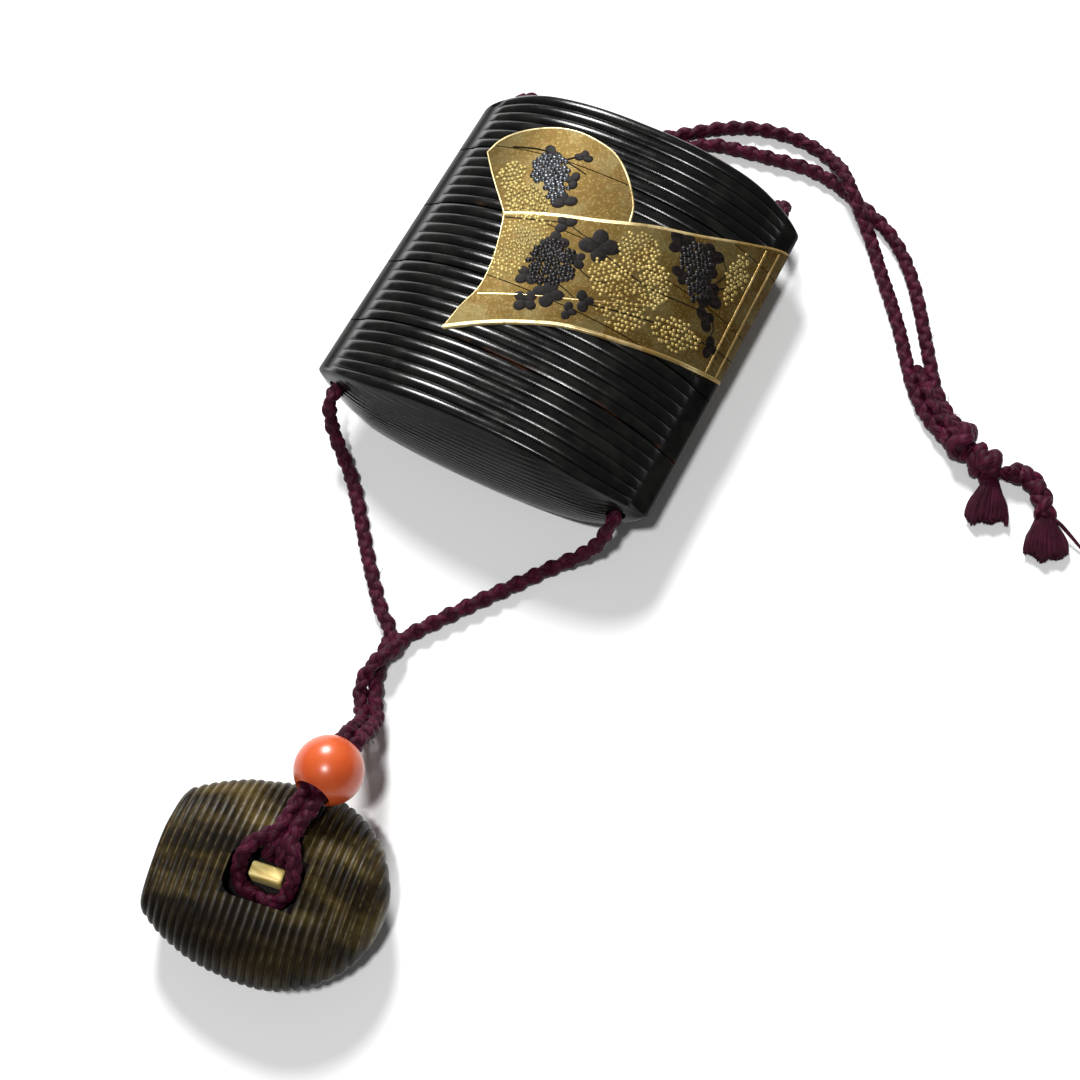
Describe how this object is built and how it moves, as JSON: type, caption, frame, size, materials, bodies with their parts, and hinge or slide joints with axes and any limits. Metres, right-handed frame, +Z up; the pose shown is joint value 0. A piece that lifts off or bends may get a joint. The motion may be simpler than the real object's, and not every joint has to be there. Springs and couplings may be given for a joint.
{
  "type": "inro case",
  "caption": "Flat lens-shaped ribbed lacquer case of stacked hollow sections under a cap lid, on a braided cord with a slide bead, a ribbed toggle and a knotted tail.",
  "frame": {"origin": "on the surface the object lies on, under the middle of the box around the inro, its bead and its toggle", "axes": "+X across the inro's width, +Y along its height towards the foot, +Z up through its front face"},
  "size_m": [0.1255, 0.1828, 0.0212],
  "materials": {
    "lacquer": "polished black lacquer over wood, with a gold lacquer panel",
    "coral": "polished",
    "dark_horn": "mottled, ribbed, polished",
    "pale_bone": "satin",
    "silk_cord": "braided silk"
  },
  "bodies": {
    "root": {"inro_lid": "lacquer", "inro_case_1": "lacquer", "inro_case_2": "lacquer", "inro_case_3": "lacquer", "inro_case_4": "lacquer", "ojime_bead": "coral", "netsuke": "dark_horn", "netsuke_bar": "pale_bone", "neck_cord_left": "silk_cord", "neck_cord_right": "silk_cord", "channel_cord_left": "silk_cord", "channel_cord_right": "silk_cord", "tail_cord_left": "silk_cord", "tail_cord_right": "silk_cord", "cord_knot": "silk_cord", "cord_end": "silk_cord", "frayed_tip_short": "silk_cord", "frayed_tip_long": "silk_cord"}
  },
  "joints": []
}
